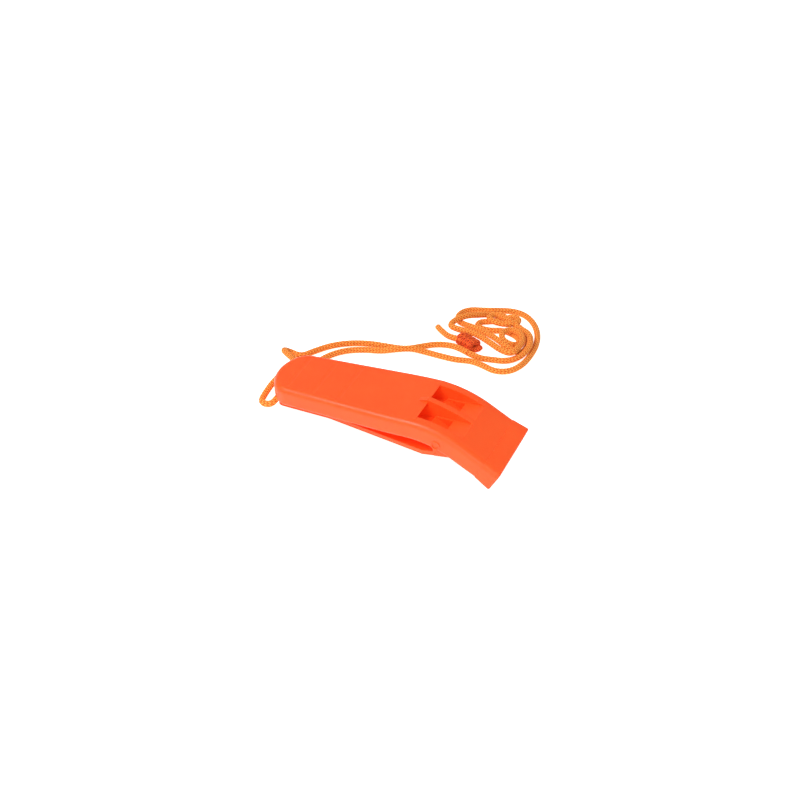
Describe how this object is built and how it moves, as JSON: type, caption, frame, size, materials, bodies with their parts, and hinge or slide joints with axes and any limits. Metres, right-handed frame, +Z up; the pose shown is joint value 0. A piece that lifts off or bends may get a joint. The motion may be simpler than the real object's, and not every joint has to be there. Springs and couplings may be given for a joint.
{
  "type": "training whistle",
  "caption": "Flat pealess whistle with side-by-side chambers, a bent mouthpiece, a sprung belt clip underneath and a loosely coiled neck cord.",
  "frame": {"origin": "middle of the bottom of the whistle's box; the surface that the whistle and its cord lie on is Z = 0", "axes": "+X from the tail to the mouthpiece, +Y to the far side where the cord's loose coils lie, +Z up"},
  "size_m": [0.0964, 0.0954, 0.0184],
  "materials": {
    "orange_plastic": "smooth moulded, softly shiny",
    "orange_cord": "tight round braid with a slight sheen"
  },
  "bodies": {
    "whistle": {"body_shell": "orange_plastic", "barrel_cover": "orange_plastic", "cord_upper_strand": "orange_cord", "cord_tail_loop": "orange_cord", "cord_lower_strand": "orange_cord", "cord_cut_end": "orange_cord", "cord_knot": "orange_cord", "cord_bundle": "orange_cord"},
    "clip": {"clip_leaf": "orange_plastic"}
  },
  "joints": [
    {"name": "clip_spring", "type": "hinge", "parent": "whistle", "child": "clip", "pos_m": [0.0197, 0, 0.00674], "axis": [0, -1, 0], "range_deg": [0, 7], "stiffness_Nm_per_rad": 0.5}
  ]
}
